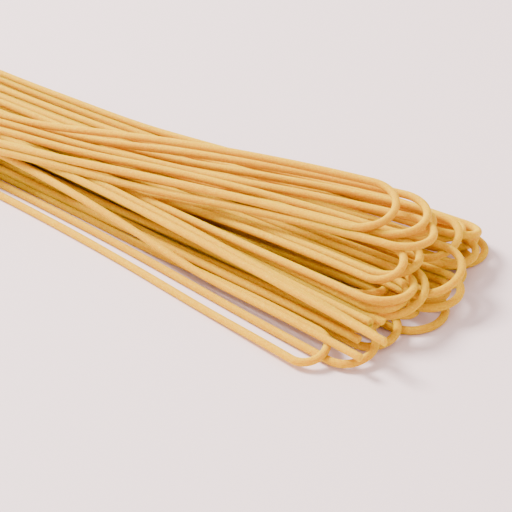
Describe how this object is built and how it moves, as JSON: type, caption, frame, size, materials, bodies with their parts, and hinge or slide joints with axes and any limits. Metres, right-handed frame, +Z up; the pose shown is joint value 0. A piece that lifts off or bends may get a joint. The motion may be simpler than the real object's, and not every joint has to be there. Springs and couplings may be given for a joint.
{
  "type": "bundle of dry spaghetti",
  "caption": "Loose bundle of long dry pasta strands, each doubled over into a hairpin loop, fanned out and lying flat as one piece.",
  "frame": {"origin": "centre of the bounding box's underside, on the surface that the bundle lies on", "axes": "+X along the strands towards their loops, +Y across the bundle, +Z up"},
  "size_m": [0.2804, 0.0896, 0.023],
  "materials": {
    "pasta": "dry matte semolina, slightly rough and floury"
  },
  "bodies": {
    "root": {"spaghetti_bundle": "pasta"}
  },
  "joints": []
}
